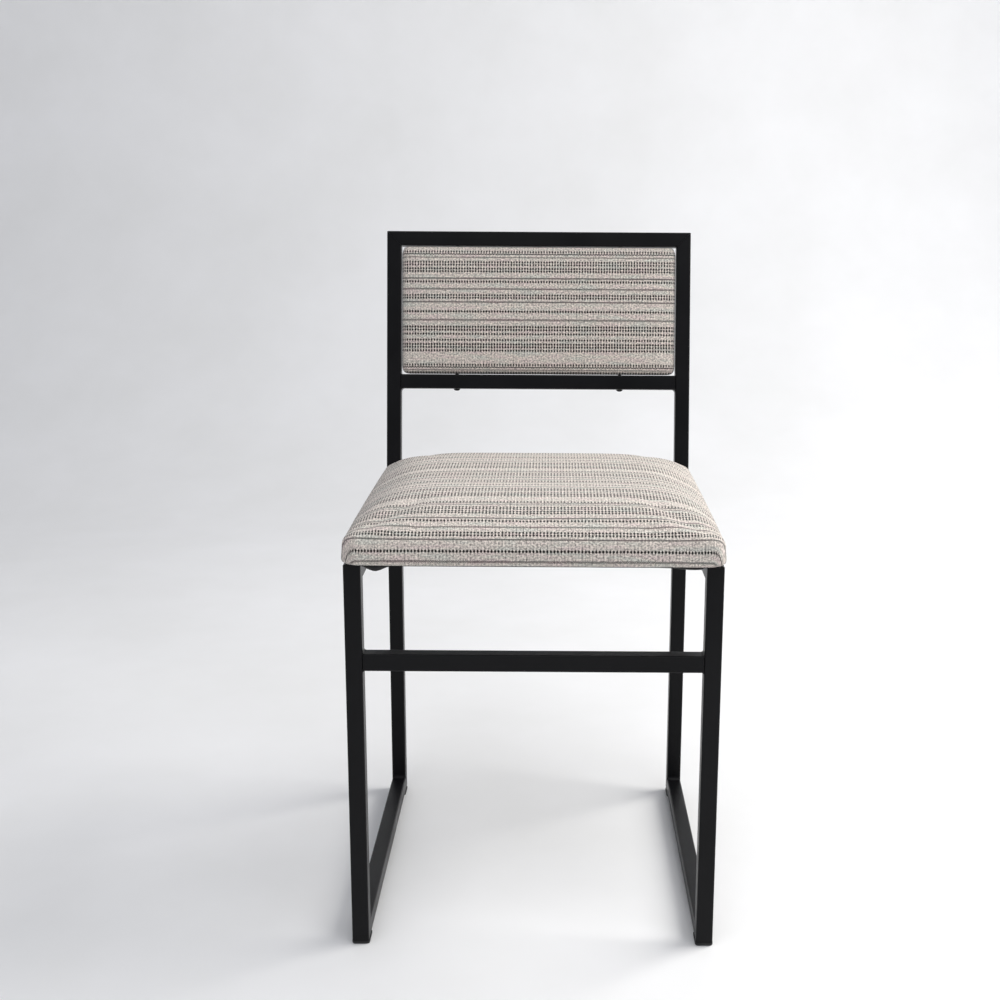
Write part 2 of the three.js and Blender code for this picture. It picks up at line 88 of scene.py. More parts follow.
def add(tree, kind, links=(), out=0, stops=(), **settings):
    """One shader node with its settings and links, and the output that is asked for."""
    node = tree.nodes.new("ShaderNode" + kind)
    for name, value in settings.items():
        setattr(node, name, value)
    for socket, value in dict(links).items():
        if isinstance(value, bpy.types.NodeSocket):
            tree.links.new(value, node.inputs[socket])
        else:
            node.inputs[socket].default_value = value
    for number, (place, colour) in enumerate(stops):
        ramp = node.color_ramp
        stop = ramp.elements[number] if number < 2 else ramp.elements.new(place)
        stop.position, stop.color = place, colour
    return node if out is None else node.outputs[out]


def material(name, **settings):
    """A new material, and its node tree and shader, with what is set on the shader."""
    made = bpy.data.materials.new(name)
    made.use_nodes = True
    shader = made.node_tree.nodes["Principled BSDF"]
    for socket, value in settings.items():
        shader.inputs[socket.replace("_", " ")].default_value = value
    return made, made.node_tree, shader


def join(tree, shader, **sockets):
    """Links outputs to the shader's sockets."""
    for socket, output in sockets.items():
        tree.links.new(output, shader.inputs[socket.replace("_", " ")])


def show(name, mesh_made, finish, smooth=True):
    """An object at the origin, with its place in its mesh."""
    if smooth:
        mesh_made.polygons.foreach_set("use_smooth", [True] * len(mesh_made.polygons))
    mesh_made.materials.append(finish)
    made = bpy.data.objects.new(name, mesh_made)
    scene.collection.objects.link(made)
    return made


def mesh_of(bm, name):
    """The mesh of a finished bmesh, which is freed."""
    made = bpy.data.meshes.new(name)
    bm.to_mesh(made)
    bm.free()
    return made


emulsion, tree, shader = material("matt white emulsion", Roughness=0.6)
roller = add(
    tree,
    "TexNoise",
    {"Vector": add(tree, "TexCoord", out=3), "Scale": 2.2, "Detail": 4, "Roughness": 0.6},
)
tone = add(
    tree,
    "ValToRGB",
    {0: roller},
    stops=[(0.3, linear(0xE9E9E9)), (0.7, linear(0xF0F0F1))],
)
join(tree, shader, Base_Color=tone)

bm = bmesh.new()
front = bm.verts.new((-SWEEP_WIDTH / 2, SWEEP_FRONT, 0))
bend_start = bm.verts.new((-SWEEP_WIDTH / 2, SWEEP_BACK - SWEEP_BEND, 0))
bm.edges.new([front, bend_start])
bmesh.ops.spin(
    bm,
    geom=[bend_start],
    cent=(-SWEEP_WIDTH / 2, SWEEP_BACK - SWEEP_BEND, SWEEP_BEND),
    axis=(1, 0, 0),
    angle=math.pi / 2,
    steps=24,
)
top = max(bm.verts, key=lambda v: v.co.z)
bm.edges.new([top, bm.verts.new((-SWEEP_WIDTH / 2, SWEEP_BACK, SWEEP_HEIGHT))])
swept = bmesh.ops.extrude_edge_only(bm, edges=bm.edges[:])["geom"]
bmesh.ops.translate(
    bm,
    verts=[v for v in swept if isinstance(v, bmesh.types.BMVert)],
    vec=(SWEEP_WIDTH, 0, 0),
)
sweep = show("studio_sweep", mesh_of(bm, "studio_sweep"), emulsion)

# Light: an evenly bright room, a big soft window to the right and a little behind the
# chair, a smaller one on the right of the wall, and a soft box above the camera.
scene.world = bpy.data.worlds.new("room")
scene.world.use_nodes = True
room = scene.world.node_tree.nodes["Background"]
room.inputs["Color"].default_value = linear(0xF4F7FF)
room.inputs["Strength"].default_value = 0.45


def window(name, place, aim, size, watts, colour):
    """A large soft rectangular light."""
    lamp = bpy.data.lights.new(name, "AREA")
    lamp.shape = "RECTANGLE"
    lamp.size, lamp.size_y = size
    lamp.energy = watts
    lamp.color = linear(colour)[:3]
    made = bpy.data.objects.new(name, lamp)
    scene.collection.objects.link(made)
    made.matrix_world = Matrix.Translation(place) @ (
        (Vector(place) - Vector(aim)).to_track_quat("Z", "Y").to_matrix().to_4x4()
    )


window("window_right", (2.3, 0.45, 1.9), (0.0, 0.0, 0.4), (1.8, 2.2), 86, 0xFFFDF8)
window("window_behind", (1.9, 1.3, 2.2), (1.3, 3.2, 1.7), (1.6, 2.0), 13, 0xFFFFFF)
window("ceiling", (0.3, -1.5, 3.0), (0.1, -1.0, 0.0), (2.6, 2.2), 38, 0xFFFFFF)


# ---------------------------------------------------------------- welded frame
# Square steel tube, cut, welded into two sled side frames and joined across,
# then shot blasted and powder coated satin black in one piece.
FRAME_TUBES = [
    *[f"{part}_{side}" for part in ("front_leg", "runner", "seat_rail", "rear_post")
      for side in ("left", "right")],
    "front_stretcher",
    "back_top_rail",
    "back_lower_rail",
    "seat_bar_front",
    "seat_bar_rear",
]
COAT_PEEL = 1.4  # mm between the swells of the powder's orange peel
COAT_GRAIN = 0.35  # mm, the finer grain on top of it
MM = 1000.0

# Powder coat: almost black, a soft sheen that lights up at a low angle, and a
# faintly pebbled skin that a little dust makes greyer in places.
powder_coat, tree, shader = material(
    "satin black powder coat",
    Base_Color=linear(0x151517),
    Roughness=0.4,
    Specular_IOR_Level=0.16,
)
place = add(tree, "TexCoord", out=3)
peel = add(tree, "TexNoise", {"Vector": place, "Scale": MM / COAT_PEEL, "Detail": 2})
grain = add(tree, "TexNoise", {"Vector": place, "Scale": MM / COAT_GRAIN, "Detail": 1})
dust = add(tree, "TexNoise", {"Vector": place, "Scale": 14, "Detail": 5, "Roughness": 0.6})
skin = add(tree, "Mix", {0: 0.35, 2: peel, 3: grain})
black = add(
    tree,
    "ValToRGB",
    {0: dust},
    stops=[(0.35, linear(0x0A0A0C)), (0.75, linear(0x111113))],
)
gloss = add(
    tree,
    "MapRange",
    {0: dust, 1: 0.3, 2: 0.75, 3: 0.32, 4: 0.43},
)
relief = add(tree, "Bump", {"Strength": 0.25, "Distance": 0.0003, "Height": skin})
join(tree, shader, Base_Color=black, Roughness=gloss, Normal=relief)

for name in FRAME_TUBES:
    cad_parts[name].data.materials.clear()
    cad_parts[name].data.materials.append(powder_coat)

# ---------------------------------------------------------------- welds
# Fillet welds run inside the corners of the frame and are dressed to a smooth
# hollow before the powder goes on. The big ones take the load of the side frames.
WELD_WIDTH = 0.0165  # across the flat of a tube, between its rounded edges
WELD_STEPS = 8
FRONT_WELD = 0.009  # inside the front corners of a side frame
REAR_WELD = 0.006  # inside its rear corners
STRETCHER_WELD = 0.0025
LOWER_RAIL_WELD = 0.004
LOWER_RAIL_TOP_WELD = 0.001  # ground down to clear the panel


def fillet(name, size, place):
    """A hollow fillet in a corner: its flanks run along +Y and -Z, and X is across the tube."""
    bm = bmesh.new()
    start = bm.verts.new((-WELD_WIDTH / 2, size, 0))
    bmesh.ops.spin(
        bm,
        geom=[start],
        cent=(-WELD_WIDTH / 2, size, -size),
        axis=(1, 0, 0),
        angle=math.pi / 2,
        steps=WELD_STEPS,
    )
    bm.verts.ensure_lookup_table()
    profile = bm.faces.new([bm.verts.new((-WELD_WIDTH / 2, 0, 0)), *bm.verts[: WELD_STEPS + 1]])
    grown = bmesh.ops.extrude_face_region(bm, geom=[profile])["geom"]
    far_side = [v for v in grown if isinstance(v, bmesh.types.BMVert)]
    bmesh.ops.translate(bm, verts=far_side, vec=(WELD_WIDTH, 0, 0))
    bmesh.ops.recalc_face_normals(bm, faces=bm.faces)
    made = mesh_of(bm, name)
    made.transform(place)
    if place.determinant() < 0:
        made.flip_normals()
    weld = show(name, made, powder_coat, smooth=False)
    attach(weld, "root")
    return weld


stretcher_low, stretcher_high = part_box("front_stretcher")
rail_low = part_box("seat_rail_left")[0]
runner_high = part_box("runner_left")[1]
TUBE = leg_high.y - leg_low.y
post_front = runner_high.y - TUBE
BACK_LEAN = math.radians(10)
BEND_RADIUS = 0.050  # of a rear post's centre line
BEND_HEIGHT = 0.468
bend_centre = (0, post_front + TUBE / 2 + BEND_RADIUS, BEND_HEIGHT)
lean = Matrix.Translation(bend_centre) @ Matrix.Rotation(-BACK_LEAN, 4, "X")


def in_the_back(name):
    """The low and high corners of a part of the reclined back, measured square to it."""
    stood = lean.inverted()
    places = np.array([stood @ v.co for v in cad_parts[name].data.vertices])
    return places.min(0), places.max(0)


lower_rail_low, lower_rail_high = in_the_back("back_lower_rail")
lower_rail_y = (lower_rail_low[1] + lower_rail_high[1]) / 2
MIRROR_Y = Matrix.Scale(-1, 4, (0, 1, 0))
MIRROR_Z = Matrix.Scale(-1, 4, (0, 0, 1))
for side, hand in ((-1, "left"), (1, "right")):
    tube_x = side * abs(leg_low.x + leg_high.x) / 2
    inner_x = tube_x - side * TUBE / 2
    at = Matrix.Translation
    seat_corner = at((tube_x, leg_high.y, rail_low.z))
    front_foot = at((tube_x, leg_high.y, runner_high.z)) @ MIRROR_Z
    rear_foot = at((tube_x, post_front, runner_high.z)) @ MIRROR_Z @ MIRROR_Y
    rail_to_post = at((tube_x, post_front, rail_low.z)) @ MIRROR_Y
    fillet(f"weld_seat_corner_{hand}", FRONT_WELD, seat_corner)
    fillet(f"weld_front_foot_{hand}", FRONT_WELD, front_foot)
    fillet(f"weld_rear_foot_{hand}", REAR_WELD, rear_foot)
    fillet(f"weld_rail_to_post_{hand}", REAR_WELD, rail_to_post)
    turned = Matrix.Rotation(side * math.pi / 2, 4, "Z")
    stretcher_y = (stretcher_low.y + stretcher_high.y) / 2
    below = at((inner_x, stretcher_y, stretcher_low.z)) @ turned
    above = at((inner_x, stretcher_y, stretcher_high.z)) @ turned @ MIRROR_Z
    fillet(f"weld_stretcher_under_{hand}", STRETCHER_WELD, below)
    fillet(f"weld_stretcher_over_{hand}", STRETCHER_WELD, above)
    below = lean @ at((inner_x, lower_rail_y, lower_rail_low[2])) @ turned
    above = lean @ at((inner_x, lower_rail_y, lower_rail_high[2])) @ turned @ MIRROR_Z
    fillet(f"weld_lower_rail_under_{hand}", LOWER_RAIL_WELD, below)
    fillet(f"weld_lower_rail_over_{hand}", LOWER_RAIL_TOP_WELD, above)

# ---------------------------------------------------------------- glides
# Black nylon feet pushed into the open ends of the runners, moulded with a
# fine spark texture and scratched underneath.
nylon, tree, shader = material("moulded black nylon", Roughness=0.5)
place = add(tree, "TexCoord", out=3)
spark = add(tree, "TexNoise", {"Vector": place, "Scale": MM / 0.6, "Detail": 3})
wear = add(tree, "TexNoise", {"Vector": place, "Scale": 90, "Detail": 4})
black = add(
    tree,
    "ValToRGB",
    {0: wear},
    stops=[(0.4, linear(0x101011)), (0.8, linear(0x1E1E1F))],
)
relief = add(tree, "Bump", {"Strength": 0.3, "Distance": 0.0002, "Height": spark})
join(tree, shader, Base_Color=black, Normal=relief)

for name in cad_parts:
    if name.startswith("glide_"):
        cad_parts[name].data.materials.clear()
        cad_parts[name].data.materials.append(nylon)

# ---------------------------------------------------------------- boards
# Birch plywood, seven plies, sawn and left raw. It is all under cloth.
PLY = 1.7  # mm, one veneer
plywood, tree, shader = material("raw birch plywood", Roughness=0.65)
place = add(tree, "TexCoord", out=3)
stretched = add(tree, "Mapping", {"Vector": place, "Scale": (6, 90, 90)})
figure = add(tree, "TexNoise", {"Vector": stretched, "Scale": 3, "Detail": 6, "Distortion": 0.6})
veneer = add(
    tree,
    "ValToRGB",
    {0: figure},
    stops=[(0.3, linear(0xC9A878)), (0.7, linear(0xE3CBA0))],
)
layers = add(
    tree,
    "TexWave",
    {"Vector": place, "Scale": MM / PLY / 20, "Distortion": 0.3},
    out=1,
    bands_direction="Z",
)
edge = add(tree, "Mix", {0: layers, 6: linear(0xB08C5C), 7: veneer}, out=2, data_type="RGBA")
relief = add(tree, "Bump", {"Strength": 0.2, "Distance": 0.0003, "Height": figure})
join(tree, shader, Base_Color=edge, Normal=relief)

for name in ("seat_board", "back_board"):
    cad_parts[name].data.materials.clear()
    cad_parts[name].data.materials.append(plywood)

# ---------------------------------------------------------------- screws
# Zinc plated steel screws, tee nuts, inserts and pins: rolled and turned, with
# a thin bluish passivation.
zinc, tree, shader = material("zinc plated steel", Metallic=1.0, Roughness=0.34)
place = add(tree, "TexCoord", out=3)
cloud = add(tree, "TexNoise", {"Vector": place, "Scale": 260, "Detail": 4})
plate = add(
    tree,
    "ValToRGB",
    {0: cloud},
    stops=[(0.3, linear(0xA6A9AD)), (0.7, linear(0xC4C6C8))],
)
dull = add(tree, "MapRange", {0: cloud, 1: 0.3, 2: 0.7, 3: 0.28, 4: 0.42})
join(tree, shader, Base_Color=plate, Roughness=dull)

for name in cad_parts:
    if name.startswith(("seat_screw", "tee_nut", "insert_nut", "locating_pin")):
        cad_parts[name].data.materials.clear()
        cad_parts[name].data.materials.append(zinc)
    if name.startswith("back_screw"):
        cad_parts[name].data.materials.clear()
        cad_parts[name].data.materials.append(powder_coat)

# ---------------------------------------------------------------- cloth
# Chunky cotton and wool weave. The ground is a nubbly cream weft; dark yarn
# comes up between the warps as rows of dots, zigzags and plied grey lines.
# Rows are in mm down the cloth within one repeat: place, and how strong.
REPEAT = 159.5
DOT_PITCH = 3.87
DOT_ROWS = [
    (7.9, 0.72), (22.7, 0.88), (26.4, 0.88), (31.8, 0.95), (35.5, 0.95), (50.2, 0.9),
    (69.3, 0.92), (73.0, 0.92), (92.2, 1.0), (113.9, 1.0), (118.1, 1.0), (123.9, 0.9),
    (132.3, 0.88), (138.4, 1.0), (142.4, 1.0), (147.2, 0.95),
]
LINE_ROWS = [(15.9, 0.8), (45.5, 1.0), (78.8, 1.0)]
PLIED_ROWS = [60.4, 104.1]
ZIGZAG_ROW = 11.2
ROW_REACH = 2.0  # mm from a row's middle to where it has faded out

# The cloth's own UV map is in metres: x runs along the rows, y down the repeat.
cloth, tree, shader = material("nubbly striped upholstery weave", Roughness=0.92)
shader.inputs["Sheen Weight"].default_value = 0.25
shader.inputs["Sheen Roughness"].default_value = 0.6
shader.inputs["Specular IOR Level"].default_value = 0.2
lay = add(
    tree,
    "Mapping",
    {"Vector": add(tree, "UVMap", uv_map="weave"), "Scale": (MM, MM, MM)},
)
wander = add(tree, "TexNoise", {"Vector": lay, "Scale": 0.035, "Detail": 1})
tremble = add(tree, "TexNoise", {"Vector": lay, "Scale": 0.45, "Detail": 1})
along = add(tree, "SeparateXYZ", {0: lay})
down = add(tree, "SeparateXYZ", {0: lay}, out=1)
down = add(tree, "Math", {0: wander, 1: 0.7, 2: down}, operation="MULTIPLY_ADD")
down = add(tree, "Math", {0: tremble, 1: 0.5, 2: down}, operation="MULTIPLY_ADD")
down = add(tree, "Math", {0: down, 1: 0.6}, operation="SUBTRACT")
along = add(tree, "Math", {0: tremble, 1: 0.5, 2: along}, operation="MULTIPLY_ADD")
row = add(tree, "Math", {0: down, 1: 0.0, 2: REPEAT}, operation="WRAP")
share = add(tree, "Math", {0: row, 1: REPEAT}, operation="DIVIDE")


def rows_near(rows):
    """How near the cloth's place is to one of up to ten rows, from 0 to the row's strength."""
    stops = [(0.0, (0, 0, 0, 1)), (1.0, (0, 0, 0, 1))]
    for place, strength in rows:
        for step, level in ((-ROW_REACH, 0), (0, strength), (ROW_REACH, 0)):
            stops.append(((place + step) / REPEAT, (level, level, level, 1)))
    return add(tree, "ValToRGB", {0: share}, stops=stops)


dots_near = add(
    tree,
    "Math",
    {0: rows_near(DOT_ROWS[:8]), 1: rows_near(DOT_ROWS[8:])},
    operation="MAXIMUM",
)
lines_near = rows_near(LINE_ROWS)

# Colour of the space-dyed weft: it changes every few centimetres, by the row.
dye_place = add(tree, "Mapping", {"Vector": lay, "Scale": (0.024, 0.13, 1)})
dye = add(tree, "TexNoise", {"Vector": dye_place, "Scale": 1.0, "Detail": 1.5})
ground = add(
    tree,
    "ValToRGB",
    {0: dye},
    stops=[
        (0.34, linear(0xD6D3CA)),
        (0.46, linear(0xDED5CB)),
        (0.56, linear(0xE0D5CC)),
        (0.66, linear(0xDFD0CA)),
    ],
)
dark = add(
    tree,
    "ValToRGB",
    {0: dye},
    stops=[(0.4, linear(0x181B18)), (0.6, linear(0x241817))],
)
grey = add(
    tree,
    "ValToRGB",
    {0: dye},
    stops=[(0.4, linear(0x565A55)), (0.6, linear(0x635655))],
)

# Ground: nubs of uneven weft over fine warp ribs. The real nubs are a millimetre or two
# long. They are drawn at two to three, because finer ones don't show. Their tone is partly
# the weft's own unevenness and partly painted light: where the bump raises a nub it is
# painted lighter, a painted highlight, and between nubs darker, painted shade.
nub_place = add(tree, "Mapping", {"Vector": lay, "Scale": (0.38, 0.5, 1)})
nubs = add(tree, "TexNoise", {"Vector": nub_place, "Scale": 1.0, "Detail": 3, "Roughness": 0.65})
# Painted highlight on raised nubs and painted shade between them, over the weft's own tone.
nub_tone_and_painted_shade = add(tree, "MapRange", {0: nubs, 1: 0.38, 2: 0.62, 3: 0.52, 4: 1.34})
ground_with_painted_nub_shade = add(
    tree,
    "Mix",
    {0: 1.0, 6: ground, 7: nub_tone_and_painted_shade},
    out=2,
    data_type="RGBA",
    blend_type="MULTIPLY",
)

# Dots: round, one to each warp gap, and never quite the same.
turn = add(tree, "Math", {0: along, 1: 2 * math.pi / DOT_PITCH}, operation="MULTIPLY")
comb = add(tree, "Math", {0: turn}, operation="COSINE")
comb = add(tree, "Math", {0: comb, 1: 0.5, 2: 0.5}, operation="MULTIPLY_ADD")
uneven = add(tree, "TexNoise", {"Vector": lay, "Scale": 0.3, "Detail": 2})
dots = add(tree, "Math", {0: comb, 1: dots_near}, operation="ADD")
dots = add(tree, "Math", {0: uneven, 1: 0.5, 2: dots}, operation="MULTIPLY_ADD")
dots = add(tree, "MapRange", {0: dots, 1: 1.16, 2: 1.4}, interpolation_type="SMOOTHSTEP")

# Plain grey lines: one plied yarn, beaded where the warps cross it.
beads = add(tree, "Math", {0: along, 1: DOT_PITCH / 4}, operation="PINGPONG")
lines = add(tree, "Math", {0: beads, 1: 0.35, 2: lines_near}, operation="MULTIPLY_ADD")
lines = add(tree, "MapRange", {0: lines, 1: 0.45, 2: 0.95, 4: 0.95})

# Plied rows and the dark zigzag: yarn that weaves up and down across the row.
zigzag = add(tree, "Math", {0: along, 1: DOT_PITCH / 2}, operation="PINGPONG")


def weaving(place, swing, half):
    """A yarn that swings to and fro across a row by so many mm."""
    offset = add(tree, "Math", {0: row, 1: place - swing * DOT_PITCH / 4}, operation="SUBTRACT")
    path = add(tree, "Math", {0: zigzag, 1: -swing, 2: offset}, operation="MULTIPLY_ADD")
    away = add(tree, "Math", {0: path}, operation="ABSOLUTE")
    return add(tree, "MapRange", {0: away, 1: half, 2: half * 0.35, 3: 0.0, 4: 1.0})


plied = add(
    tree,
    "Math",
    {
        0: add(
            tree,
            "Math",
            {0: weaving(PLIED_ROWS[0], 1.1, 0.8), 1: weaving(PLIED_ROWS[0], -1.1, 0.8)},
            operation="ADD",
        ),
        1: add(
            tree,
            "Math",
            {0: weaving(PLIED_ROWS[1], 1.3, 0.9), 1: weaving(PLIED_ROWS[1], -1.3, 0.9)},
            operation="ADD",
        ),
    },
    operation="ADD",
)
plied = add(tree, "Math", {0: plied, 1: 0.92}, operation="MINIMUM")
chain = weaving(ZIGZAG_ROW, 0.6, 1.1)

greyed = add(
    tree,
    "Mix",
    {0: add(tree, "Math", {0: lines, 1: plied}, operation="MAXIMUM"), 6: ground_with_painted_nub_shade, 7: grey},
    out=2,
    data_type="RGBA",
)
darkened = add(
    tree,
    "Mix",
    {0: add(tree, "Math", {0: dots, 1: chain}, operation="MAXIMUM"), 6: greyed, 7: dark},
    out=2,
    data_type="RGBA",
)
ribs = add(tree, "Math", {0: along, 1: DOT_PITCH / 4}, operation="PINGPONG")
height = add(tree, "Math", {0: ribs, 1: 0.25, 2: nubs}, operation="MULTIPLY_ADD")
height = add(tree, "Math", {0: dots, 1: -0.35, 2: height}, operation="MULTIPLY_ADD")
relief = add(tree, "Bump", {"Strength": 1.0, "Distance": 0.0015, "Height": height})
join(tree, shader, Base_Color=darkened, Normal=relief)

# ---------------------------------------------------------------- seat pad
# A plywood board, foam cut to a crown and lapped over the board's edge, and
# the cloth pulled over it all and stapled underneath. It sits on the rails.
SEAT_VOXEL = 0.005  # spacing of the form's vertices
SEAT_SWELL = 0.003  # how far the filling swells the cloth past the cut foam
SEAT_EDGE_LIFT = 0.002  # of the form's rim, which rounds off lower
SEAT_CROWN = 0.035  # rise of the dome above the upright border
SEAT_CROWN_POWER = (6.5, 3.8)  # across and along: higher is steeper at the border
SEAT_CROWN_REACH = (0.2165, 0.170)  # in from the sides, and from the ends, to level
SEAT_CORNER = 0.018
SEAT_EDGE = 0.006  # radius where the dome turns into the border
SEAT_UNDER = 0.005  # radius where the border turns under the board
SEAT_ROW_START = 0.1079  # where in the repeat the front lower edge falls
SEAT_TURN = 0.034  # height up to which the cloth is still coming round the edge
SEAT_HELD = 0.006  # height of the part that is stapled to the board and can't swell
LINING = 0.0025  # from the outside of the cloth to the foam
FOAM_GAP = 0.0003  # between the foam and the board
FACES_DOWN = -0.7  # a vertex normal's z, below which the cloth is turned in underneath
CORNER_SEGMENTS = 8
RIM_SEGMENTS = 5


def rounded_block(low, high, corner, edge, under):
    """A closed block with rounded upright corners and softened top and bottom rims."""
    bm = bmesh.new()
    bmesh.ops.create_cube(bm, size=1)
    size = Vector(high) - Vector(low)
    bmesh.ops.scale(bm, vec=size, verts=bm.verts)
    bmesh.ops.translate(bm, vec=(Vector(high) + Vector(low)) / 2, verts=bm.verts)
    upright = [e for e in bm.edges if abs((e.verts[0].co - e.verts[1].co).z) > size.z * 0.9]
    bmesh.ops.bevel(
        bm, geom=upright, offset=corner, offset_type="OFFSET", affect="EDGES",
        segments=CORNER_SEGMENTS, profile=0.5, material=-1,
    )
    for up, radius in ((1, edge), (-1, under)):
        rim = {e for f in bm.faces if f.normal.z * up > 0.9 for e in f.edges}
        bmesh.ops.bevel(
            bm, geom=list(rim), offset=radius, offset_type="OFFSET", affect="EDGES",
            segments=RIM_SEGMENTS, profile=0.5, material=-1,
        )
    bmesh.ops.recalc_face_normals(bm, faces=bm.faces)
    return mesh_of(bm, "form")


def finished(mesh, kind, **settings):
    """The mesh after one modifier."""
    body = bpy.data.objects.new("form", mesh)
    scene.collection.objects.link(body)
    step = body.modifiers.new("step", kind)
    for name, value in settings.items():
        setattr(step, name, value)
    made = bpy.data.meshes.new_from_object(
        body.evaluated_get(bpy.context.evaluated_depsgraph_get())
    )
    bpy.data.objects.remove(body)
    return made


def points(mesh):
    """A mesh's vertices as an array."""
    flat = np.empty(len(mesh.vertices) * 3)
    mesh.vertices.foreach_get("co", flat)
    return flat.reshape(-1, 3)


def move_points(mesh, places):
    """Puts an array of places back on a mesh."""
    mesh.vertices.foreach_set("co", np.asarray(places, np.float64).ravel())
    mesh.update()


SWELL_FRAMES = 20


def puffed(mesh, name, held, cap, first_frame):
    """The form blown up as sewn cloth: held vertices stay, and none moves past the cap."""
    start = points(mesh)
    body = bpy.data.objects.new(name, mesh)
    scene.collection.objects.link(body)
    pins = body.vertex_groups.new(name="held")
    pins.add([int(i) for i in np.flatnonzero(held)], 1.0, "REPLACE")
    blow = body.modifiers.new("blow", "CLOTH")
    blow.settings.use_pressure = True
    blow.settings.uniform_pressure_force = 4
    blow.settings.effector_weights.gravity = 0
    blow.settings.tension_stiffness = 40
    blow.settings.compression_stiffness = 40
    blow.settings.shear_stiffness = 20
    blow.settings.bending_stiffness = 4
    blow.settings.vertex_group_mass = "held"
    blow.point_cache.frame_start = first_frame
    blow.point_cache.frame_end = first_frame + SWELL_FRAMES
    for number in range(first_frame, first_frame + SWELL_FRAMES):
        scene.frame_set(number)
    end = points(body.evaluated_get(bpy.context.evaluated_depsgraph_get()).data)
    bpy.data.objects.remove(body)
    moved = end - start
    far = np.linalg.norm(moved, axis=1, keepdims=True)
    moved *= cap / (cap + far)
    move_points(mesh, start + moved)
    return mesh


def lay_cloth(mesh, places):
    """Keeps the flat cloth's own places, in metres, as the piece's UV map."""
    layer = mesh.uv_layers.new(name="weave")
    corners = np.empty(len(mesh.loops), np.int32)
    mesh.loops.foreach_get("vertex_index", corners)
    layer.data.foreach_set("uv", places[corners].astype(np.float32).ravel())


def dome(flat, half):
    """The share of the seat's rise, across and along, for places seen from above."""
    shares = []
    for axis, reach in enumerate(SEAT_CROWN_REACH):
        inwards = np.clip((half[axis] - np.abs(flat[:, axis])) / reach, 0, 1)
        shares.append(1 - (1 - inwards) ** SEAT_CROWN_POWER[axis])
    return shares


low, high = (np.array(corner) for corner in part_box("seat_cover"))
middle = (low + high) / 2
half = (high - low)[:2] / 2
border_top = high[2] - SEAT_CROWN
seat_mesh = finished(
    rounded_block(
        low,
        (high[0], high[1] - SEAT_SWELL, border_top + SEAT_EDGE_LIFT),
        SEAT_CORNER,
        SEAT_EDGE,
        SEAT_UNDER,
    ),
    "REMESH",
    mode="VOXEL",
    voxel_size=SEAT_VOXEL,
)
place = points(seat_mesh)
flat = place[:, :2] - middle[:2]
# The rise fades out down the border, so the lower edge keeps its place.
lift = np.clip((place[:, 2] - low[2]) / (border_top - SEAT_EDGE - low[2]), 0, 1) ** 3
across, along_seat = dome(flat, half)
place[:, 2] += (SEAT_CROWN - SEAT_SWELL) * across * along_seat * lift
move_points(seat_mesh, place)
seat_mesh = puffed(seat_mesh, "blown_seat", place[:, 2] < low[2] + SEAT_HELD, SEAT_SWELL, 1)

# The foam fills the cloth down to the board.
bm = bmesh.new()
bm.from_mesh(seat_mesh)
for vertex in bm.verts:
    vertex.co -= vertex.normal * LINING
bmesh.ops.bisect_plane(
    bm,
    geom=[*bm.verts, *bm.edges, *bm.faces],
    plane_co=(0, 0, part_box("seat_board")[1].z + FOAM_GAP),
    plane_no=(0, 0, 1),
    clear_inner=True,
)
bmesh.ops.holes_fill(bm, edges=[e for e in bm.edges if e.is_boundary], sides=0)
# Cut polyurethane foam, cream coloured, with open cells. It fills the cloth. The cell
# hollows, where the bump sinks, are painted darker: painted shade in the open pores.
CELL = 1.1  # mm across a cell
foam, tree, shader = material("cut polyurethane foam", Roughness=0.95)
place = add(tree, "TexCoord", out=3)
cells = add(tree, "TexVoronoi", {"Vector": place, "Scale": MM / CELL})
# Painted shade: the ramp darkens the middle of each cell, where the pore sinks in.
cream = add(
    tree,
    "ValToRGB",
    {0: cells},
    stops=[(0.1, linear(0xB9A374)), (0.6, linear(0xE9DDB8))],
)
relief = add(tree, "Bump", {"Strength": 0.6, "Distance": 0.0006, "Height": cells})
join(tree, shader, Base_Color=cream, Normal=relief)
seat_foam = show("seat_foam_block", mesh_of(bm, "seat_foam_block"), foam)
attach(seat_foam, "root")
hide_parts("seat_foam")

seat_mesh = finished(seat_mesh, "SUBSURF", levels=1, render_levels=1)
place = points(seat_mesh)
flat = place[:, :2] - middle[:2]
facing = np.empty(len(seat_mesh.vertices) * 3)
seat_mesh.vertex_normals.foreach_get("vector", facing)
under = facing.reshape(-1, 3)[:, 2] < FACES_DOWN
out = flat - np.clip(flat, SEAT_CORNER - half, half - SEAT_CORNER)
share = out**2 / np.maximum((out**2).sum(1), 1e-9)[:, None]
climb = np.minimum(place[:, 2] - low[2], SEAT_TURN)
across, along_seat = dome(flat, half)
# A row stays square to the dome where it crosses the middle, so on the slope at the
# front its two ends lie a little further back.
level_in = 1 - np.clip((half[1] - np.abs(flat[:, 1])) / SEAT_CROWN_REACH[1], 0, 1)
slope = SEAT_CROWN * SEAT_CROWN_POWER[1] / SEAT_CROWN_REACH[1]
slope = slope * level_in ** (SEAT_CROWN_POWER[1] - 1)
bow = slope * SEAT_CROWN * along_seat * (1 - across)
flat_place = np.empty((len(place), 2))
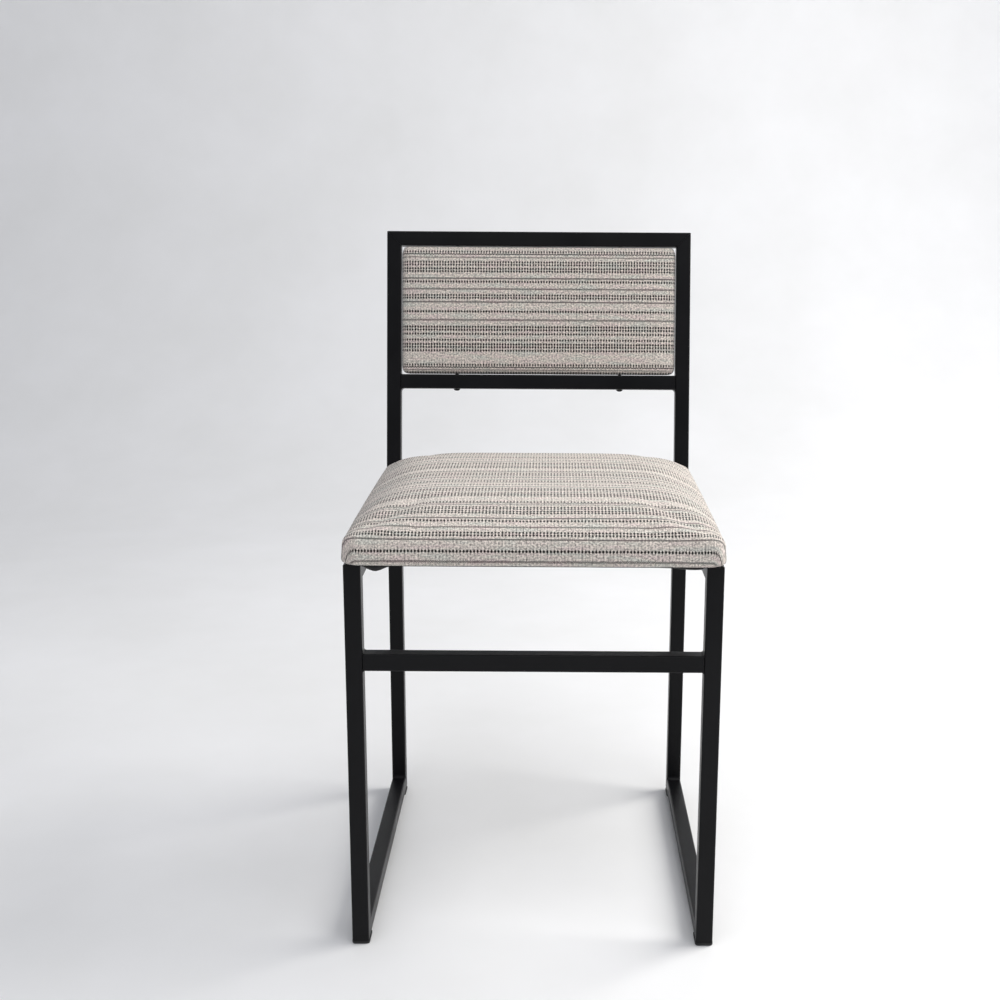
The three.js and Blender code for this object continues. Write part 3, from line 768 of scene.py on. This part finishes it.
# The cloth's own place is how far it has run up the border and over the dome.
for axis in (0, 1):
    inwards = half[axis] - np.abs(flat[:, axis])
    way = inwards + SEAT_TURN - (SEAT_TURN - climb) * share[:, axis]
    if axis == 1:
        way = way - bow
    line = (np.abs(flat[:, 1 - axis]) < SEAT_VOXEL / 4) & (flat[:, axis] < 0) & ~under
    order = np.argsort(way[line])
    along_line = place[line][order][:, [axis, 2]]
    run = np.concatenate([[0], np.cumsum(np.hypot(*np.diff(along_line, axis=0).T)), [0]])
    known = np.append(way[line][order], half[axis] + SEAT_TURN)
    whole = run[-1] = run[-2] + known[-1] - known[-2]
    gone = np.interp(way, known, run)
    gone = np.where(under & (share[:, axis] > 0.5), -inwards, gone)
    flat_place[:, axis] = np.where(flat[:, axis] < 0, gone - whole, whole - gone)
    if axis == 1:
        flat_place[:, axis] = SEAT_ROW_START - whole - flat_place[:, axis]
lay_cloth(seat_mesh, flat_place)
seat_pad = show("seat_pad_cloth", seat_mesh, cloth)
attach(seat_pad, "root")
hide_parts("seat_cover")

# ---------------------------------------------------------------- dust cover
# Thin black spun cloth, stapled under the board to hide it. It is a little
# slack, so it hangs in shallow waves between the rails and the cross bars.
DUST_STEP = 0.004
DUST_THICKNESS = 0.0004
DUST_SAG = 0.0015  # between what it is held on
SAG_FROM_RAIL = 0.02  # in from a rail to where it sags all of that
SAG_FROM_BAR = 0.03
FOLD_DROP = 0.0075  # a fold hangs out at the front left
FOLD_IN = (0.016, 0.012)  # in from the left rail and back from the front edge
FOLD_WIDTH = (0.013, 0.014)
SLACK_DROP = 0.004  # and a little slack at the front right
SLACK_IN = (0.006, 0.012)  # in from the right rail and back from the front edge
SLACK_WIDTH = (0.03, 0.016)
RAIL_CLEAR = 0.001  # kept flat beside a rail
BAR_CLEAR = 0.002  # and beside a cross bar
STAPLED = 0.006  # kept flat along the front and rear edges
FOLD_FROM_RAIL = 0.004
low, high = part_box("seat_dust_cover")
spun, tree, shader = material("black spun-bonded lining", Roughness=0.85)
place = add(tree, "TexCoord", out=3)
fibres = add(tree, "TexNoise", {"Vector": place, "Scale": MM / 1.5, "Detail": 4})
black = add(
    tree,
    "ValToRGB",
    {0: fibres},
    stops=[(0.3, linear(0x0C0C0D)), (0.7, linear(0x1A1A1B))],
)
relief = add(tree, "Bump", {"Strength": 0.4, "Distance": 0.0003, "Height": fibres})
join(tree, shader, Base_Color=black, Normal=relief)

bm = bmesh.new()
flat_size = (high.x - low.x, high.y - low.y)
bmesh.ops.create_grid(
    bm,
    x_segments=round(flat_size[0] / DUST_STEP),
    y_segments=round(flat_size[1] / DUST_STEP),
    size=0.5,
)
bmesh.ops.scale(bm, vec=(*flat_size, 1), verts=bm.verts)
bmesh.ops.translate(bm, vec=((low.x + high.x) / 2, (low.y + high.y) / 2, high.z), verts=bm.verts)
rail_inner = abs(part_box("seat_rail_left")[1].x)
bars = [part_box(name) for name in ("seat_bar_front", "seat_bar_rear")]


def hump(distance, width):
    """One smooth bump, 1 in its middle and next to nothing two widths away."""
    return math.exp(-((distance / width) ** 2))


for vertex in bm.verts:
    x, y, _ = vertex.co
    to_rail = max(rail_inner - RAIL_CLEAR - abs(x), 0)
    to_edge = max(min(y - low.y, high.y - y), 0)
    to_bar = min(
        0
        if near.y - BAR_CLEAR < y < far.y + BAR_CLEAR
        else min(abs(y - near.y), abs(y - far.y)) - BAR_CLEAR
        for near, far in bars
    )
    free = min(to_rail / SAG_FROM_RAIL, to_bar / SAG_FROM_BAR, 1)
    held = min(to_edge / STAPLED, 1)
    sag = DUST_SAG + DUST_SAG * noise.noise(Vector((x * 16, y * 12, 3)))
    fold = FOLD_DROP * hump(x + rail_inner - FOLD_IN[0], FOLD_WIDTH[0])
    fold *= hump(y - low.y - FOLD_IN[1], FOLD_WIDTH[1])
    slack = SLACK_DROP * hump(x - rail_inner + SLACK_IN[0], SLACK_WIDTH[0])
    slack *= hump(y - low.y - SLACK_IN[1], SLACK_WIDTH[1])
    drawn = min(to_rail / FOLD_FROM_RAIL, 1) * (fold + slack)
    vertex.co.z -= held * (max(free, 0) * sag + drawn)
bmesh.ops.recalc_face_normals(bm, faces=bm.faces)
dust_cover = show("seat_dust_cover_cloth", mesh_of(bm, "seat_dust_cover_cloth"), spun)
thick = dust_cover.modifiers.new("thickness", "SOLIDIFY")
thick.thickness = DUST_THICKNESS
thick.offset = 0
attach(dust_cover, "root")
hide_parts("seat_dust_cover")

# ---------------------------------------------------------------- back panel
# A board with foam on both faces and the same cloth pulled round it. It is
# held between the two rails by screws from below and pins above.
BACK_VOXEL = 0.005  # spacing of the form's vertices
BACK_SWELL = 0.003  # the most that the filling swells the cloth
BACK_SETTLE = 0.002  # how far below its faces the form starts
BACK_HELD = 0.985  # share of the half width or height, past which the cloth is held
BACK_FIRST_FRAME = 101  # well after the seat's simulation
BACK_CORNER = 0.007  # radius of the panel's corners
BACK_EDGE = 0.006  # radius where its faces turn into its rim
BACK_LINING = 0.002  # from the outside of the cloth to the foam


def unrolled(flat, depth, half, corner, edge, under, full):
    """Where each point was on the flat cloth, before it was pulled over a rounded block.

    flat is the place in the block's plane, from its middle, and depth is how far the
    point lies below the face that the cloth starts on, out of the full depth.
    """
    core = np.clip(flat, corner - half, half - corner)
    out = flat - core
    reach = np.linalg.norm(out, axis=1)
    normal = out / np.maximum(reach, 1e-6)[:, None]
    inside = corner - reach
    angle = np.clip(np.arctan2(edge - inside, edge - depth), 0, math.pi / 2)
    over = edge * angle + np.maximum(depth - edge, 0)
    turned = np.where(depth > full - under, np.maximum(inside, 0), 0)
    foot = core + normal * (corner - edge)
    wrapped = foot + normal * (over + turned)[:, None]
    on_edge = (inside < edge) | (depth > edge)
    return np.where(on_edge[:, None], wrapped, flat)


low, high = in_the_back("back_cover")
# The form is made lying on its back, with its front upwards, and stood up after.
stand = Matrix.Rotation(math.pi / 2, 4, "X")
form = rounded_block(
    (low[0], low[2], -high[1]), (high[0], high[2], -low[1]), BACK_CORNER, BACK_EDGE, BACK_EDGE
)
form.transform(stand)
back_mesh = finished(form, "REMESH", mode="VOXEL", voxel_size=BACK_VOXEL)
place = points(back_mesh)
middle = (low + high) / 2
half = (high - low) / 2
across = (place - middle) / half
place[:, 1] -= np.sign(across[:, 1]) * BACK_SETTLE
move_points(back_mesh, place)
rim = np.abs(across[:, [0, 2]]).max(1) > BACK_HELD
back_mesh = puffed(back_mesh, "blown_back", rim, BACK_SWELL, BACK_FIRST_FRAME)
scene.frame_set(1)

for name, ahead, filled in (("back_foam_front", 1, "front"), ("back_foam_rear", -1, "rear")):
    bm = bmesh.new()
    bm.from_mesh(back_mesh)
    for vertex in bm.verts:
        vertex.co -= vertex.normal * BACK_LINING
    foam_low, foam_high = in_the_back(name)
    plane = foam_high[1] if ahead > 0 else foam_low[1]
    bmesh.ops.bisect_plane(
        bm,
        geom=[*bm.verts, *bm.edges, *bm.faces],
        plane_co=(0, plane, 0),
        plane_no=(0, ahead, 0),
        clear_outer=True,
    )
    bmesh.ops.holes_fill(bm, edges=[e for e in bm.edges if e.is_boundary], sides=0)
    made = mesh_of(bm, name)
    made.transform(lean)
    pad = show(f"back_foam_block_{filled}", made, foam)
    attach(pad, "root")
    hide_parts(name)

back_mesh = finished(back_mesh, "SUBSURF", levels=1, render_levels=1)
place = points(back_mesh)
flat_place = unrolled(
    place[:, [0, 2]] - middle[[0, 2]],
    np.maximum(place[:, 1] - low[1], 0),
    half[[0, 2]],
    BACK_CORNER,
    BACK_EDGE,
    BACK_EDGE,
    high[1] - low[1],
)
flat_place[:, 1] = half[2] - flat_place[:, 1]
lay_cloth(back_mesh, flat_place)
back_mesh.transform(lean)
back_panel = show("back_panel_cloth", back_mesh, cloth)
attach(back_panel, "root")
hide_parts("back_cover")
